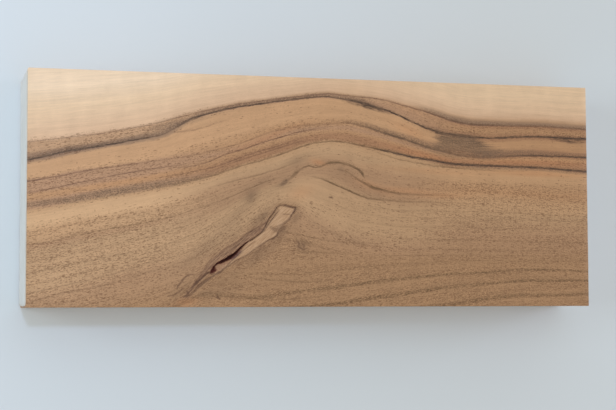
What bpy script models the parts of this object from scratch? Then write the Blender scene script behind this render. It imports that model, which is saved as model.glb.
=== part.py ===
"""A walnut turning blank: one planed block of wood with a bark pocket in its top face, and a thin wax
seal on each end. Metres, +Z up, the length along X. The origin is under the middle of the block, on
the surface that it lies on. +Y is the sapwood edge."""

import math

import bmesh
import bpy
from mathutils import Vector

MM = 0.001

# The blank as it is sold, over the sealed ends.
BLANK_LENGTH = 300 * MM
BLANK_WIDTH = 118 * MM
BLANK_THICKNESS = 40 * MM

# The planed corners are only just broken.
ARRIS = 0.4 * MM
ARRIS_SEGMENTS = 2

# Each end has a film of wax with thicker runs in it. The small gap keeps it clear of the wood.
SEAL_GAP = 0.3 * MM
SEAL_FILM = 0.4 * MM
SEAL_RUN = 0.3 * MM
SEAL_MARGIN = 0.6 * MM
SEAL_CELL = 3 * MM

# The brushed rim of the wax wanders in by up to twice the wave, and its corners are drawn in further.
# The power keeps both to the last row of cells.
RIM_WAVE = 0.25 * MM
RIM_WAVE_LENGTHS = (5.1 * MM, 2.3 * MM)
RIM_CORNER = 0.7 * MM
RIM_POWER = 15

# Runs of wax on an end: how far across the end, half width, height where it starts, height of its bead,
# and how thick it is beside the thickest run. They stay away from the middle, which is flat.
SEAL_RUNS = (
    (-50 * MM, 5.5 * MM, 34 * MM, 7 * MM, 1.0),
    (-38 * MM, 3.5 * MM, 22 * MM, 4 * MM, 0.7),
    (-24 * MM, 4.5 * MM, 17 * MM, 6 * MM, 0.55),
    (19 * MM, 3.5 * MM, 15 * MM, 5 * MM, 0.6),
    (33 * MM, 5.0 * MM, 30 * MM, 9 * MM, 0.8),
    (49 * MM, 3.5 * MM, 25 * MM, 5 * MM, 0.65),
)
RUN_FADE = 6 * MM
RUN_LEAST = 0.12
BEAD_SHARE = 0.3

# The bark pocket, an old wound that the tree grew over. Each station down the open crack is its place
# from the middle of the top face, half its width and its depth, in millimetres.
BARK_CRACK_MM = (
    (-70.5, -52.8, 0.25, 0.6),
    (-66.0, -47.6, 0.40, 1.2),
    (-61.5, -43.0, 0.45, 1.8),
    (-57.8, -40.8, 0.90, 3.6),
    (-54.8, -37.9, 1.45, 5.6),
    (-50.8, -36.1, 1.30, 6.4),
    (-46.6, -33.2, 1.15, 6.0),
    (-42.6, -29.6, 0.90, 5.0),
    (-38.6, -26.1, 0.60, 3.8),
    (-34.5, -23.3, 0.40, 2.6),
    (-31.0, -20.6, 0.40, 2.2),
    (-28.2, -16.4, 0.50, 2.2),
    (-25.4, -12.0, 0.50, 2.0),
    (-23.2, -9.2, 0.40, 1.6),
)
# The seam that runs on round the tip of the wood tongue beside the crack.
TONGUE_SEAM_MM = (
    (-22.0, -7.6, 0.30, 1.2),
    (-19.4, -7.0, 0.35, 1.2),
    (-16.4, -7.8, 0.35, 1.1),
    (-13.9, -8.7, 0.35, 1.1),
    (-14.8, -11.2, 0.35, 1.1),
    (-17.0, -14.1, 0.30, 1.0),
    (-20.2, -16.8, 0.30, 0.9),
    (-24.2, -18.6, 0.30, 0.8),
)
CUT_ABOVE = 1 * MM
PARALLEL = 0.99
# A crack keeps most of its width down to this share of its depth, then closes to a point.
CRACK_SHOULDER_DEPTH = 0.45
CRACK_SHOULDER_WIDTH = 0.75

WOOD_COLOUR = (0.47, 0.31, 0.18)
WOOD_ROUGHNESS = 0.55
WAX_COLOUR = (0.66, 0.66, 0.64)
WAX_ROUGHNESS = 0.45

WOOD_LENGTH = BLANK_LENGTH - 2 * (SEAL_GAP + SEAL_FILM + SEAL_RUN)


def clear_scene():
    for obj in list(bpy.data.objects):
        bpy.data.objects.remove(obj, do_unlink=True)


def new_collection(name, hidden=False):
    collection = bpy.data.collections.new(name)
    collection.hide_render = hidden
    bpy.context.scene.collection.children.link(collection)
    return collection


def material(name, colour, roughness):
    mat = bpy.data.materials.new(name)
    mat.use_nodes = True
    shader = mat.node_tree.nodes["Principled BSDF"]
    shader.inputs["Base Color"].default_value = (*colour, 1)
    shader.inputs["Roughness"].default_value = roughness
    shader.inputs["Metallic"].default_value = 0
    return mat


def new_object(name, bm, collection):
    """An object made from a bmesh, with its normals facing out."""
    bmesh.ops.recalc_face_normals(bm, faces=bm.faces)
    mesh = bpy.data.meshes.new(name)
    bm.to_mesh(mesh)
    bm.free()
    obj = bpy.data.objects.new(name, mesh)
    collection.objects.link(obj)
    return obj


def block_of(size, centre):
    """A bmesh cuboid."""
    bm = bmesh.new()
    bmesh.ops.create_cube(bm, size=1)
    bmesh.ops.scale(bm, vec=size, verts=bm.verts)
    bmesh.ops.translate(bm, vec=centre, verts=bm.verts)
    return bm


def edges_along(bm, axis):
    """The edges of an upright mesh that run along one axis."""
    return [e for e in bm.edges if abs((e.verts[1].co - e.verts[0].co).normalized()[axis]) > PARALLEL]


def crack_sections(stations):
    """The five corners of the crack's section at each station, square to the way that it runs there."""
    places = [Vector((x * MM, y * MM, 0)) for x, y, _, _ in stations]
    for i, (_, _, half_width, depth) in enumerate(stations):
        before = places[max(i - 1, 0)]
        after = places[min(i + 1, len(places) - 1)]
        along = (after - before).normalized()
        across = Vector((-along.y, along.x, 0)) * half_width * MM
        top = places[i] + Vector((0, 0, BLANK_THICKNESS))
        shoulder = Vector((0, 0, -depth * MM * CRACK_SHOULDER_DEPTH))
        yield (
            top + across + Vector((0, 0, CUT_ABOVE)),
            top - across + Vector((0, 0, CUT_ABOVE)),
            top - across * CRACK_SHOULDER_WIDTH + shoulder,
            top + Vector((0, 0, -depth * MM)),
            top + across * CRACK_SHOULDER_WIDTH + shoulder,
        )


def crack_cutter(name, stations, collection):
    """A loft through the crack's sections, closed at both ends, that reaches above the top face."""
    bm = bmesh.new()
    rings = [[bm.verts.new(corner) for corner in section] for section in crack_sections(stations)]
    for ring, following in zip(rings, rings[1:]):
        for i in range(len(ring)):
            j = (i + 1) % len(ring)
            bm.faces.new((ring[i], ring[j], following[j], following[i]))
    bm.faces.new(rings[0])
    bm.faces.new(rings[-1])
    bmesh.ops.triangulate(bm, faces=bm.faces)
    cutter = new_object(name, bm, collection)
    cutter.hide_render = True
    cutter.display_type = "WIRE"
    return cutter


def walnut_block(collection, cutters):
    size = Vector((WOOD_LENGTH, BLANK_WIDTH, BLANK_THICKNESS))
    bm = block_of(size, Vector((0, 0, BLANK_THICKNESS / 2)))
    block = new_object("walnut_block", bm, collection)
    corners = block.modifiers.new("Broken corners", "BEVEL")
    corners.width = ARRIS
    corners.segments = ARRIS_SEGMENTS
    for label, stations in (("bark_crack", BARK_CRACK_MM), ("tongue_seam", TONGUE_SEAM_MM)):
        cut = block.modifiers.new(label, "BOOLEAN")
        cut.operation = "DIFFERENCE"
        cut.solver = "EXACT"
        cut.object = crack_cutter(label + "_cutter", stations, cutters)
    block.data.materials.append(material("Planed walnut", WOOD_COLOUR, WOOD_ROUGHNESS))
    return block


def smooth_step(value):
    value = min(max(value, 0), 1)
    return value * value * (3 - 2 * value)


def run_thickness(y, z):
    """How thick the wax runs are at a place on an end, from 0 to 1, with 0 on the flat film."""
    thickest = 0
    for centre, half_width, start, bead, share in SEAL_RUNS:
        across = math.exp(-(((y - centre) / half_width) ** 2))
        down = smooth_step((start - z) / RUN_FADE)
        swelling = 1 - BEAD_SHARE + BEAD_SHARE * math.exp(-(((z - bead) / half_width) ** 2))
        thickest = max(thickest, share * across * down * swelling)
    return max(thickest - RUN_LEAST, 0) / (1 - RUN_LEAST)


def rim_inset(place):
    """How far the brushed rim lies in from a straight line at a place along it."""
    longer, shorter = RIM_WAVE_LENGTHS
    return RIM_WAVE * (1 - math.sin(place / longer) * math.cos(place / shorter))


def drawn_in(share, inset):
    """The move of a point that lies at this share of the way from the middle to the rim, from -1 to 1."""
    return -math.copysign(abs(share) ** RIM_POWER * inset, share)


def end_seal(name, side, wax, collection):
    """The wax on the end that faces side * X."""
    width = BLANK_WIDTH - 2 * SEAL_MARGIN
    height = BLANK_THICKNESS - 2 * SEAL_MARGIN
    middle_x = WOOD_LENGTH / 2 + SEAL_GAP + SEAL_FILM / 2
    middle_z = BLANK_THICKNESS / 2
    bm = block_of(Vector((SEAL_FILM, width, height)), Vector((side * middle_x, 0, middle_z)))
    for axis, length in ((1, width), (2, height)):
        cuts = round(length / SEAL_CELL) - 1
        bmesh.ops.subdivide_edges(bm, edges=edges_along(bm, axis), cuts=cuts, use_grid_fill=True)
    for vert in bm.verts:
        _, y, z = vert.co
        if abs(vert.co.x) > middle_x:
            vert.co.x += side * SEAL_RUN * run_thickness(side * y, z)
        across = y / (width / 2)
        up = (z - middle_z) / (height / 2)
        corner = RIM_CORNER * abs(across * up) ** RIM_POWER
        vert.co.y += drawn_in(across, rim_inset(z) + corner)
        vert.co.z += drawn_in(up, rim_inset(y) + corner)
    seal = new_object(name, bm, collection)
    seal.data.materials.append(wax)
    return seal


def main():
    clear_scene()
    blank = new_collection("walnut_turning_blank")
    cutters = new_collection("cutters", hidden=True)
    walnut_block(blank, cutters)
    wax = material("White end wax", WAX_COLOUR, WAX_ROUGHNESS)
    end_seal("end_wax_left", -1, wax, blank)
    end_seal("end_wax_right", 1, wax, blank)


main()
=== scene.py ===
"""Dresses the walnut turning blank: the figured block with its bark pocket, the wax on its ends, and the
stage with its light and camera. Places and sizes are in metres. Only the figure is drawn in millimetres,
on the top face as seen from above, with x along the block and y towards the sapwood edge."""

import math

import bmesh
import bpy
import numpy as np
from bpy.props import FloatProperty, FloatVectorProperty, PointerProperty
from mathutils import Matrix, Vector


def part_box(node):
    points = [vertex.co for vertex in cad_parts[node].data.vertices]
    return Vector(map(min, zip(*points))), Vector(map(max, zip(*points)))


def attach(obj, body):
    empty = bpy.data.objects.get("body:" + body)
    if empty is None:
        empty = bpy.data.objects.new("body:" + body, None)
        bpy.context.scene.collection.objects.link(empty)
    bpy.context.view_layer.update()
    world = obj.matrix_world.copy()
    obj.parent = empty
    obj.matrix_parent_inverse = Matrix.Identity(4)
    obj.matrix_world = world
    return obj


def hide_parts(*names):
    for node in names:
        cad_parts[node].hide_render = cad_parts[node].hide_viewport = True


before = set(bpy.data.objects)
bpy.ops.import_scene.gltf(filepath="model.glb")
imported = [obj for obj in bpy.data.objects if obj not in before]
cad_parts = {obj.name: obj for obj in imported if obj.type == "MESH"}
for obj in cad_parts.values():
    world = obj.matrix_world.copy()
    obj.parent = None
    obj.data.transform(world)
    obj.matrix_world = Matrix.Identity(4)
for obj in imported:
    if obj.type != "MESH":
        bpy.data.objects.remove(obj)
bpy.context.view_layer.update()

bl_info = {
    "name": "Walnut turning blank",
    "version": (1, 0, 0),
    "blender": (4, 5, 0),
    "location": "View3D > Sidebar > Walnut blank",
    "description": "Makes a planed walnut turning blank with its figure, bark pocket and wax-sealed ends",
    "category": "Add Mesh",
}

BLOCK_LOW, BLOCK_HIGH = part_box("walnut_block")
MM = 0.001

# The block is cut into even cells, and into finer ones on the top face round the bark pocket, which stay a
# little way from the long edges. All of these are in millimetres or numbers of cuts.
CELL_CUTS = (199, 78, 26)
POCKET_REACH = 4
POCKET_CUTS = 5
ARRIS_SEGMENTS = 2
ON_TOP = 0.01
KEPT_FROM_EDGE = 1

# The figure, in millimetres: its length, where the heart of the tree lay, below and beyond the plain edge
# of the block, how the swell over the knot leans and dies out below the top face, how much the corners of
# growth lines and of free dark lines are softened, and how far and how finely the lines are worked out.
FIGURE_LENGTH = 300
HEART_Y = -170
HEART_Z = -20
SWELL_LEAN = 0.4
SWELL_DEPTH = 35
GROWTH_SOFTENING = 2.2
LINE_SOFTENING = 0.8
LINE_REACH = 230
LINE_STEP = 0.5
KERNEL_REACH = 8

# Where the figure of the left end and that of the right end take over, how deep the soft patches and the
# bark pocket reach, how the wedge leans away under the top face, and what stands for places that are
# far from everything.
LEFT_ZONE = (-92, -42)
RIGHT_ZONE = (42, 84)
PATCH_DEPTH = 12
SKIN = (6, 8)
OUTSIDE = -9
WEDGE_LEAST = -6
WEDGE_LEAN = 0.3
FARTHEST = 1e6

# Growth lines: a ring value, then points along the line.
GROWTH_LINES = {
    "outside": (0, ((-150, 66), (0, 78), (150, 72))),
    "sapwood edge": (40, (
        (-150, 22.1), (-138, 23.6), (-114, 27.2), (-89, 32.2), (-64, 39.5), (-43, 44.2), (-22, 47.5),
        (-1, 50.6), (5, 51.3), (13, 50.5), (28, 49.4), (37, 48.3), (46, 45.8), (55, 44), (62, 42),
        (66, 40.8), (70, 39.2), (77, 37.8), (84, 36.9), (108, 36.9), (123, 37.3), (136, 36.7), (150, 36.1))),
    "upper dark line": (48, (
        (-150, 13.3), (-141, 15.2), (-131, 17.9), (-112, 21.4), (-92, 25.4), (-82, 27.4), (-77, 30.5),
        (-69, 35.6), (-59, 38.9), (-48, 41.8), (-38, 43.6), (-27, 45.4), (-11, 47.9), (2, 49.6), (13, 48.4),
        (19, 47.4), (24, 46.3), (29, 44.8), (36, 43.2), (42, 41.3), (50, 37.8), (56, 35.2), (62, 33.4),
        (67, 31.9), (76, 31.2), (84, 30.4), (98, 30), (108, 31), (121, 31.6), (133, 31.2), (150, 31))),
    "middle dark line": (59, (
        (-150, 2.8), (-136, 5.3), (-124, 8), (-104, 11.3), (-89, 13.7), (-74, 16), (-64, 18.3),
        (-53, 21), (-43, 23.8), (-25, 31), (-11, 33.9), (15, 36.3), (26, 34), (37, 30.6), (47, 28),
        (57, 24.8), (68, 22.4), (77, 20.5), (88, 19.7), (117, 21.4), (135, 21.3), (150, 20.8))),
    "lower dark line": (72, (
        (-150, -11.1), (-114, -4.7), (-89, -.3), (-69, 4.3), (-56, 7.3), (-43, 12.4), (-30, 16),
        (-17, 20.4), (-6, 24.8), (5, 26.6), (15, 25.8), (26, 23.5), (37, 21.7), (48, 19.3), (60, 17.9),
        (71, 16), (88, 15.4), (111, 15.2), (129, 14.6), (150, 13.4))),
    "knot ring 1": (80, (
        (-150, -19), (-114, -12), (-89, -7), (-69, -2.5), (-48, 4.4), (-32, 8.3), (-19, 12.4), (-14, 14),
        (-6, 16), (3, 17.5), (12, 17), (22, 13.5), (40, 11), (60, 9), (90, 7.5), (150, 5.5))),
    "vessel row 1": (88, (
        (-150, -28.4), (-139, -27), (-131, -24.8), (-110, -20.2), (-92, -17.1), (-79, -14.1), (-62, -8.6),
        (-51, -4.8), (-40, 0), (-30, 4.5), (-19, 8), (-10, 11), (3, 13), (12, 12), (22, 7), (31, 3.5),
        (45, 2.5), (76, 2), (150, -1))),
    "knot ring 2": (97, (
        (-150, -37), (-110, -28.5), (-86, -23.3), (-66, -16.5), (-50, -9), (-40, -3), (-30, 1.5),
        (-19, 4.5), (-10, 7), (0, 7), (8, 4), (17, 0), (26, -3.2), (43, -4.7), (76, -4.5), (110, -6),
        (150, -8))),
    "vessel row 2": (101.5, (
        (-150, -43), (-139, -40), (-124, -36.9), (-108, -33.7), (-92, -30.8), (-77, -26.7), (-64, -21.5),
        (-50, -13), (-40, -6.5), (-30, -1.2), (-22, 1.8), (-14, 3.4), (-6, 2.6), (4, -1.2), (18, -5.2),
        (40, -9), (80, -9.2), (150, -11))),
    "knot ring 3": (106, (
        (-150, -48.5), (-110, -39), (-86, -32.8), (-66, -26), (-50, -17.5), (-40, -10), (-30, -3.5),
        (-22, -.5), (-14, .5), (-6, -1), (4, -5), (18, -10), (40, -12.8), (80, -12.5), (150, -13.8))),
    "vessel row 3": (110, (
        (-150, -52.5), (-119, -45.5), (-108, -42.7), (-93, -38), (-77, -34.2), (-64, -29.7), (-52, -22.8),
        (-42, -15), (-34, -9), (-26, -4.4), (-20, -2.6), (-14, -2.2), (-6, -5), (4, -9.5), (18, -14.5),
        (40, -17.5), (80, -17.5), (150, -18.5))),
    "vessel row 4": (116, (
        (-150, -57), (-139, -53.1), (-128, -50.5), (-114, -48.6), (-100, -44.8), (-92, -41.7),
        (-79, -38.4), (-68, -34.5), (-56, -28.4), (-46, -21.5), (-36, -13.8), (-29, -8.8), (-22, -5.6),
        (-15, -5.4), (-6, -9.5), (4, -14.5), (18, -20), (40, -23.5), (80, -24.3), (150, -25.2))),
    "pocket ring": (121, (
        (-150, -65), (-130, -60), (-110, -55.5), (-90, -50.5), (-78, -47.5), (-66, -43.5), (-57, -39.5),
        (-46, -32),
        (-38, -25), (-28, -16), (-22, -9), (-16, -7.5), (-12, -9), (-4, -14.5), (6, -20.5), (20, -26.5),
        (40, -29), (80, -29.6), (150, -30))),
    "vessel row 5": (134, (
        (-150, -78), (-110, -67.5), (-81, -58), (-66, -48), (-58, -43), (-52, -41.6), (-34, -42.1),
        (-12, -42.6), (4, -41),
        (20, -38.8), (40, -36.6), (80, -35), (150, -34.6))),
    "vessel row 6": (142, (
        (-150, -88), (-81, -60.5), (-62, -52), (-53, -53), (-32, -54.4), (-19, -52.2), (-4, -50.1),
        (11, -48.6), (29, -46.1), (48, -43.9), (71, -41.9), (95, -41), (107, -39.5), (122, -39.6),
        (150, -40.4))),
    "vessel row 7": (148, (
        (-150, -96), (-81, -63), (-40, -62), (9, -57.4), (28, -54.5), (46, -52.3), (66, -49.3),
        (88, -47.4), (109, -45.7), (126, -45.3), (150, -45.3))),
    "vessel row 8": (155, (
        (-150, -104), (-81, -67), (-40, -71), (40, -61.5), (78, -57.3), (93, -54.7), (107, -53.5),
        (134, -53.2), (150, -52.4))),
}
LEAST_RING_GAP = 0.25

# Dark lines: the path, which is a growth line's name or points of its own, then stations of how far along
# the block, half the width of the line and how dark it is.
DARK_LINES = {
    "sapwood_line": ("sapwood edge", (
        (-150, .3, .35), (-125, .3, .45), (-100, .32, .5), (-80, .3, .55), (-60, .33, .6), (-40, .3, .6),
        (-15, .3, .6), (0, .32, .6), (12, .3, .6), (28, .32, .65), (45, .35, .7), (58, .4, .8),
        (66, .5, .9), (80, .45, .9), (95, .4, .75), (120, .35, .6), (150, .4, .6))),
    "upper_line": ("upper dark line", (
        (-150, .42, .9), (-144, .5, .95), (-137, .4, .8), (-126, .5, .9), (-112, .48, .95), (-100, .42, .9),
        (-90, .33, .65), (-80, .33, .4), (-75, .45, .5), (-71, .75, .9), (-66, .6, .95), (-58, .42, .9),
        (-45, .45, 1), (-30, .42, .95), (-10, .4, .9), (2, .38, .8), (10, .4, .6), (16, .5, .6),
        (22, .65, .75), (30, .5, .8), (36, .5, .95), (46, .6, 1), (56, .6, 1), (62, .75, .95),
        (68, .6, .85), (75, .6, .8), (84, .5, .85), (92, .48, 1), (120, .48, .9), (150, .55, 1))),
    "branch": (((-84, 27.2), (-79, 28.5), (-66, 30.3), (-53, 34.7), (-45, 37)), (
        (-80, .4, 0), (-74, .4, .45), (-60, .35, .4), (-45, .3, 0))),
    "crest_smear": (((10, 48.6), (17, 47.2), (22, 46.4), (28, 44.6), (38, 42), (46, 39.6)), (
        (10, .8, 0), (16, 1.5, .75), (23, 1.8, .95), (31, 1.4, .85), (38, 1.0, .4), (42, .8, 0))),
    "end_spot": (((126, 31), (134, 30.6), (141, 30), (150, 29.6)), (
        (126, .6, 0), (134, 1.4, .8), (141, 1.7, 1), (147, 1.2, .7), (150, .8, .3))),
    "middle_left": ("middle dark line", (
        (-150, .35, .85), (-138, .35, .7), (-120, .33, .7), (-108, .32, .6), (-94, .3, .35), (-75, .3, .35),
        (-50, .3, .35), (-25, .35, .35), (0, .4, .3), (15, .45, .3), (28, .4, 0))),
    "middle_line": ("middle dark line", (
        (8, .4, 0), (22, .5, .35), (38, .7, .75), (48, .6, .7), (60, .6, .5), (75, .6, .3), (95, .5, .25),
        (108, .45, .6), (118, .5, .85), (130, .55, .9), (150, .6, .95))),
    "middle_echo": (
        ((-79, 11), (-69, 11.6), (-60, 13.9), (-49, 19), (-40, 21.3), (-33, 24), (-23, 27.2),
         (-14, 30.1), (-6, 32), (6, 34)), (
        (-79, .3, 0), (-70, .3, .5), (-50, .32, .75), (-25, .33, .85), (-8, .32, .6), (6, .3, 0))),
    "inner_echo": (((-100, 3.4), (-74, 7.6), (-56, 11.6), (-38, 18.4), (-17, 25), (-8, 28.3)), (
        (-94, .3, 0), (-75, .3, .45), (-60, .3, .5), (-38, .32, .65), (-20, .3, .55), (-8, .3, 0))),
    "russet_line": (((-66, 7.4), (-56, 10), (-46, 14.4), (-36, 17.6), (-24, 21.6), (-12, 25.6), (0, 27.4)), (
        (-66, .3, 0), (-54, .3, .4), (-36, .32, .5), (-14, .32, .5), (0, .3, 0))),
    "rosy_line": (((-150, -3), (-120, 3.5), (-104, 7), (-89, 10), (-74, 12.4), (-64, 14.8)), (
        (-150, .3, .5), (-120, .3, .6), (-100, .32, .65), (-78, .3, .55), (-64, .3, 0))),
    "lower_left": ("lower dark line", (
        (-90, .4, 0), (-72, .4, .45), (-56, .4, .6), (-20, .42, .7), (-6, .45, .75), (10, .4, .7),
        (24, .45, .8), (36, .6, .95), (48, .5, 0))),
    "lower_line": ("lower dark line", (
        (28, .4, 0), (38, .62, .9), (50, .66, 1), (60, .64, 1), (70, .68, 1), (85, .6, 1), (100, .55, .95),
        (130, .52, .95), (150, .65, 1))),
    "lower_echo": (((26, 21.6), (32, 20.5), (43, 17.6), (60, 15), (74, 13.6), (96, 12.8), (120, 12.8)), (
        (26, .35, 0), (34, .35, .4), (56, .4, .55), (66, .5, .7), (76, .4, .5), (96, .35, .3),
        (120, .35, 0))),
    "knot_crest": (
        ((-24, 1.6), (-20.3, 4), (-18, 5.2), (-14.4, 8.4), (-10.8, 11.6), (-7.3, 13.3), (-5.5, 13.3),
         (-3.7, 12.6), (-.7, 12.7), (1.7, 13.9), (4.1, 15.1), (8.3, 15.4), (11.9, 15.1), (15.5, 14.2),
         (19.1, 12.5), (21.5, 11.1), (22.8, 9.4), (24, 7.6)), (
        (-17.5, .5, 0), (-15.4, 1.1, .6), (-12.8, 1.2, .75), (-11, .5, .5), (-8, .36, .7), (-5.5, .4, .8),
        (-3.7, .42, .85), (-.7, .45, .75), (1.7, .5, .75), (4.1, .6, .9), (8.3, .62, .9), (12, .55, .75),
        (16, .55, .85), (19.5, .65, .9), (21.5, 1.0, .95), (22.8, 1.2, .9), (24, .6, 0))),
    "crest_blot": (((-24, 1.6), (-20.3, 4), (-18, 5.2), (-14.4, 8.4)), (
        (-22.4, .7, 0), (-20.6, 1.1, .5), (-18.4, 1.3, .6), (-16.8, .7, .3), (-15.2, .5, 0))),
    "knot_wave": (((4, 12.6), (10, 11.6), (14.1, 10.7), (20.2, 6.8), (23.9, 4.5), (28.1, 2.6), (32.4, 1.5),
                   (34.8, 1), (43, -.4), (60, -.8), (80, -.6)), (
        (4, .4, 0), (9, .4, .2), (14, .4, .35), (20, .6, .6), (24, .7, .75), (28, .85, .9), (33, .7, .85),
        (38, .6, .7), (48, .5, .5), (62, .4, .35), (80, .4, 0))),
    "knot_slope": (((-7, 7.9), (-3.7, 7.5), (.5, 7), (5.2, 4.8), (10.6, 2.8), (16, .6), (20.2, -1.3),
                    (25, -3), (29.3, -3.5), (34.8, -3.7), (48, -4.6), (64, -4.4), (80, -4.3)), (
        (-7, .3, 0), (-3, .35, .35), (.5, .5, .65), (5, .55, .85), (12, .55, .95), (18, .5, .85),
        (24, .5, .7), (30, .45, .6), (40, .4, .45), (58, .35, .35), (80, .35, 0))),
    "knot_rise": (((-60, .5), (-48, 4.4), (-32, 8.3), (-19, 12.4), (-13, 15), (-8, 17.4)), (
        (-60, .35, 0), (-46, .35, .4), (-30, .35, .5), (-19, .35, .4), (-8, .3, 0))),
    "knot_heel": (((-60, -8.4), (-51, -4.8), (-40, 0), (-30, 4.5), (-21, 7)), (
        (-60, .35, 0), (-48, .35, .35), (-34, .35, .45), (-26, .3, .3), (-21, .3, 0))),
    "lower_check": (((-28, -19.4), (-18, -21), (-8, -23), (4, -25.2), (16, -26.2), (34, -26.6)), (
        (-28, .35, 0), (-18, .3, .35), (-4, .3, .45), (8, .35, .4), (34, .35, 0))),
    "eye_line": (((-14, -30.2), (-10, -31.4), (-4, -31), (6, -31.6), (22, -32.4)), (
        (-14, .5, 0), (-10, .5, .45), (-2, .35, .4), (8, .35, .3), (22, .35, 0))),
    "foot_line": (((-50, -42.6), (-38, -44), (-24, -45.6), (-8, -46.4), (10, -45.8)), (
        (-50, .35, 0), (-38, .3, .3), (-22, .3, .45), (-8, .3, .4), (10, .35, 0))),
    "heel_line": (((-56, -53.4), (-50, -53.6), (-40, -54.6), (-28, -55.6), (-14, -55.2), (6, -53)), (
        (-56, .35, 0), (-50, .3, .3), (-30, .35, .4), (-12, .35, .45), (6, .35, 0))),
}
SOFT_LINES = ("crest_smear", "end_spot")
OLIVE_LINES = ("lower_left", "knot_crest", "knot_wave", "knot_slope", "knot_rise", "knot_heel", "lower_echo",
               "lower_check", "eye_line", "foot_line", "heel_line")
RUST_LINES = ("sapwood_line", "branch", "middle_left", "middle_echo", "inner_echo", "russet_line",
              "rosy_line")

# Mottled bands: colour, path, how far above it the band runs, then stations as for a dark line.
SMUDGES = {
    "olive_band": ("moss", (
        (-150, -9.1), (-138, -7.3), (-128, -5.9), (-119, -3.8), (-109, -2.1), (-94, .6), (-84, 2.3),
        (-74, 3.9), (-60, 7), (-46, 12)), 0, (
        (-150, 1.3, .75), (-132, 1.5, .8), (-118, 2.0, .9), (-95, 1.9, .85), (-76, 1.7, .7),
        (-60, 1.3, .45), (-46, 1.0, 0))),
    "left_feather": ("haze", "upper dark line", 1.1, (
        (-150, .6, .35), (-143, 1.0, .6), (-134, 1.4, .7), (-127, 1.2, .6), (-119, .7, .35),
        (-106, .6, .3), (-98, .9, .5), (-92, 1.3, .5), (-84, 1.5, .35), (-76, 1.4, .45), (-70, 1, 0))),
    "fork": ("haze", ((-92, 29), (-88, 30.4), (-82, 31.2), (-77, 32.4), (-73, 34.4)), 0, (
        (-92, .8, 0), (-87, 1.5, .55), (-80, 1.9, .6), (-75, 1.4, .85), (-71, .9, 0))),
    "crest_fill": ("haze", "upper dark line", 0.9, (
        (-72, .8, 0), (-64, 1.0, .6), (-45, .9, .6), (-25, .9, .65), (-8, .9, .7), (4, 1.0, .7),
        (14, 1.2, .65), (22, 1.3, .5), (32, 1.2, 0))),
    "edge_feather": ("haze", "sapwood edge", 1.3, (
        (50, .6, 0), (60, 1.1, .5), (74, 1.7, .6), (88, 1.6, .55), (104, 1.2, .45), (125, .9, .3),
        (150, .8, .3))),
    "middle_feather": ("haze", "middle dark line", 1.0, (
        (6, .6, 0), (22, 1.2, .45), (36, 1.5, .65), (48, 1.9, .75), (60, 2.3, .75), (70, 2.4, 0))),
    "middle_band": ("haze", "middle dark line", 1.5, (
        (80, 2.0, 0), (92, 2.4, .7), (104, 2.2, .7), (116, 1.7, .7), (128, 1.2, .6), (140, .8, .45),
        (150, .7, .4))),
    "lower_shadow": ("haze", "lower dark line", -0.8, (
        (50, .6, 0), (64, 1.1, .55), (84, 1.2, .6), (110, 1.0, .55), (150, 1.0, .55))),
}

# Soft patches: place, half length, half width, turn in degrees and strength. Grey ones dull the wood, warm
# ones redden it, and pale ones lighten it. One of the pale ones is a painted sheen.
GREY_PATCHES = (
    (-36.8, -3, 4.6, 2.8, 60, 1), (-33, 3, 9, 2.2, 25, .35), (-45, -14, 16, 3.2, 40, .35),
    (-60, -29, 20, 3.4, 38, .4), (-20.5, 3.4, 4.5, 1.8, 24, .5), (-34, -34, 13, 3.2, 34, .5),
    (-22, -22, 6, 2.6, 30, .55), (-53, -51, 14, 3, 12, .45), (-10, -27, 3.5, 2.6, 20, .55),
    (20, 2.4, 8, 2.6, -28, .35), (-48, -44, 9, 3, 38, .3), (31, -1, 4, 2.4, 40, .3),
    (-72, -52, 12, 5, 44, .35), (-12.5, 15.6, 7, 2.6, 22, .5), (11, 11.6, 2.4, 1.7, -20, .7),
    (14, 9, 9, 3.2, -24, .35), (-30.8, -13.4, 4.6, 2, 50, .9), (-13.2, -13.6, 3.2, 1.8, 50, .6),
    (-76, -56, 3, 2, 60, .5), (-60, -51.5, 5, 2, 10, .45), (-52, -47, 9, 1.6, 8, .4),
    (-24.6, -22, 5, 1.5, 55, .6), (-34, -31.6, 6, 1.5, 44, .65), (-33.4, -15, 6, 2, 52, .6),
    (-10.8, -27.8, 2.6, 2, -40, .6))
WARM_PATCHES = (
    (-1.2, 15.2, 4.2, 1.4, -12, .6), (65, -1.3, 15, .9, 0, .6), (-71, -56.4, 6, 2, 8, .6),
    (-10, 0, 7, 3.6, 30, .4), (28, 3.2, 12, 2, -20, .4),
    (64, 11.8, 30, 1.6, -3, .35), (120, 11.8, 34, 1.7, -1, .6), (48, 45, 14, 2, -16, .3),
    (-30, 26.6, 22, 1.4, 22, .45), (-100, 3.8, 34, 1.3, 10, .25), (45, 1.2, 22, 1.6, -4, .45),
    (60, 19, 22, 1.8, -14, .7), (115, 17.8, 40, 1.9, 0, .55), (48, 33, 10, 2.6, -24, .4))
PALE_AND_SHEEN_PATCHES = (
    # Of these, the one at 18 along and 53 across is a painted sheen where the grain turns over the knot.
    (-6, 4.5, 7, 4.5, 10, .55), (18, 53, 9, 3.2, -4, .5), (6, 22, 12, 2.6, 2, .35), (-6, -4, 8, 6, 0, .25),
    (-92, -13, 26, 4, 14, .4), (-134, -48, 20, 9, 10, .55), (-76, -15, 16, 6, 24, .4),
    (-80, 30, 24, 3, 18, .3), (-20, 15.5, 5, 2, 20, .4), (0, -12, 20, 6, -20, .2),
    (-76, -25, 15, 12, 30, .4), (-140, -52, 12, 8, 10, .3))

# The dark wedge between the upper and the middle dark line, as an outline.
WEDGE = (
    (63.6, 33.3), (66.3, 32.1), (74.9, 31.1), (85.3, 30.7), (89, 27.7), (92.3, 25.4), (95.8, 23.8),
    (100.1, 23.1), (96, 20), (86.9, 19.8), (76.5, 20.1), (68.7, 21.4), (62.4, 23.3), (64.1, 27.9))

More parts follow.
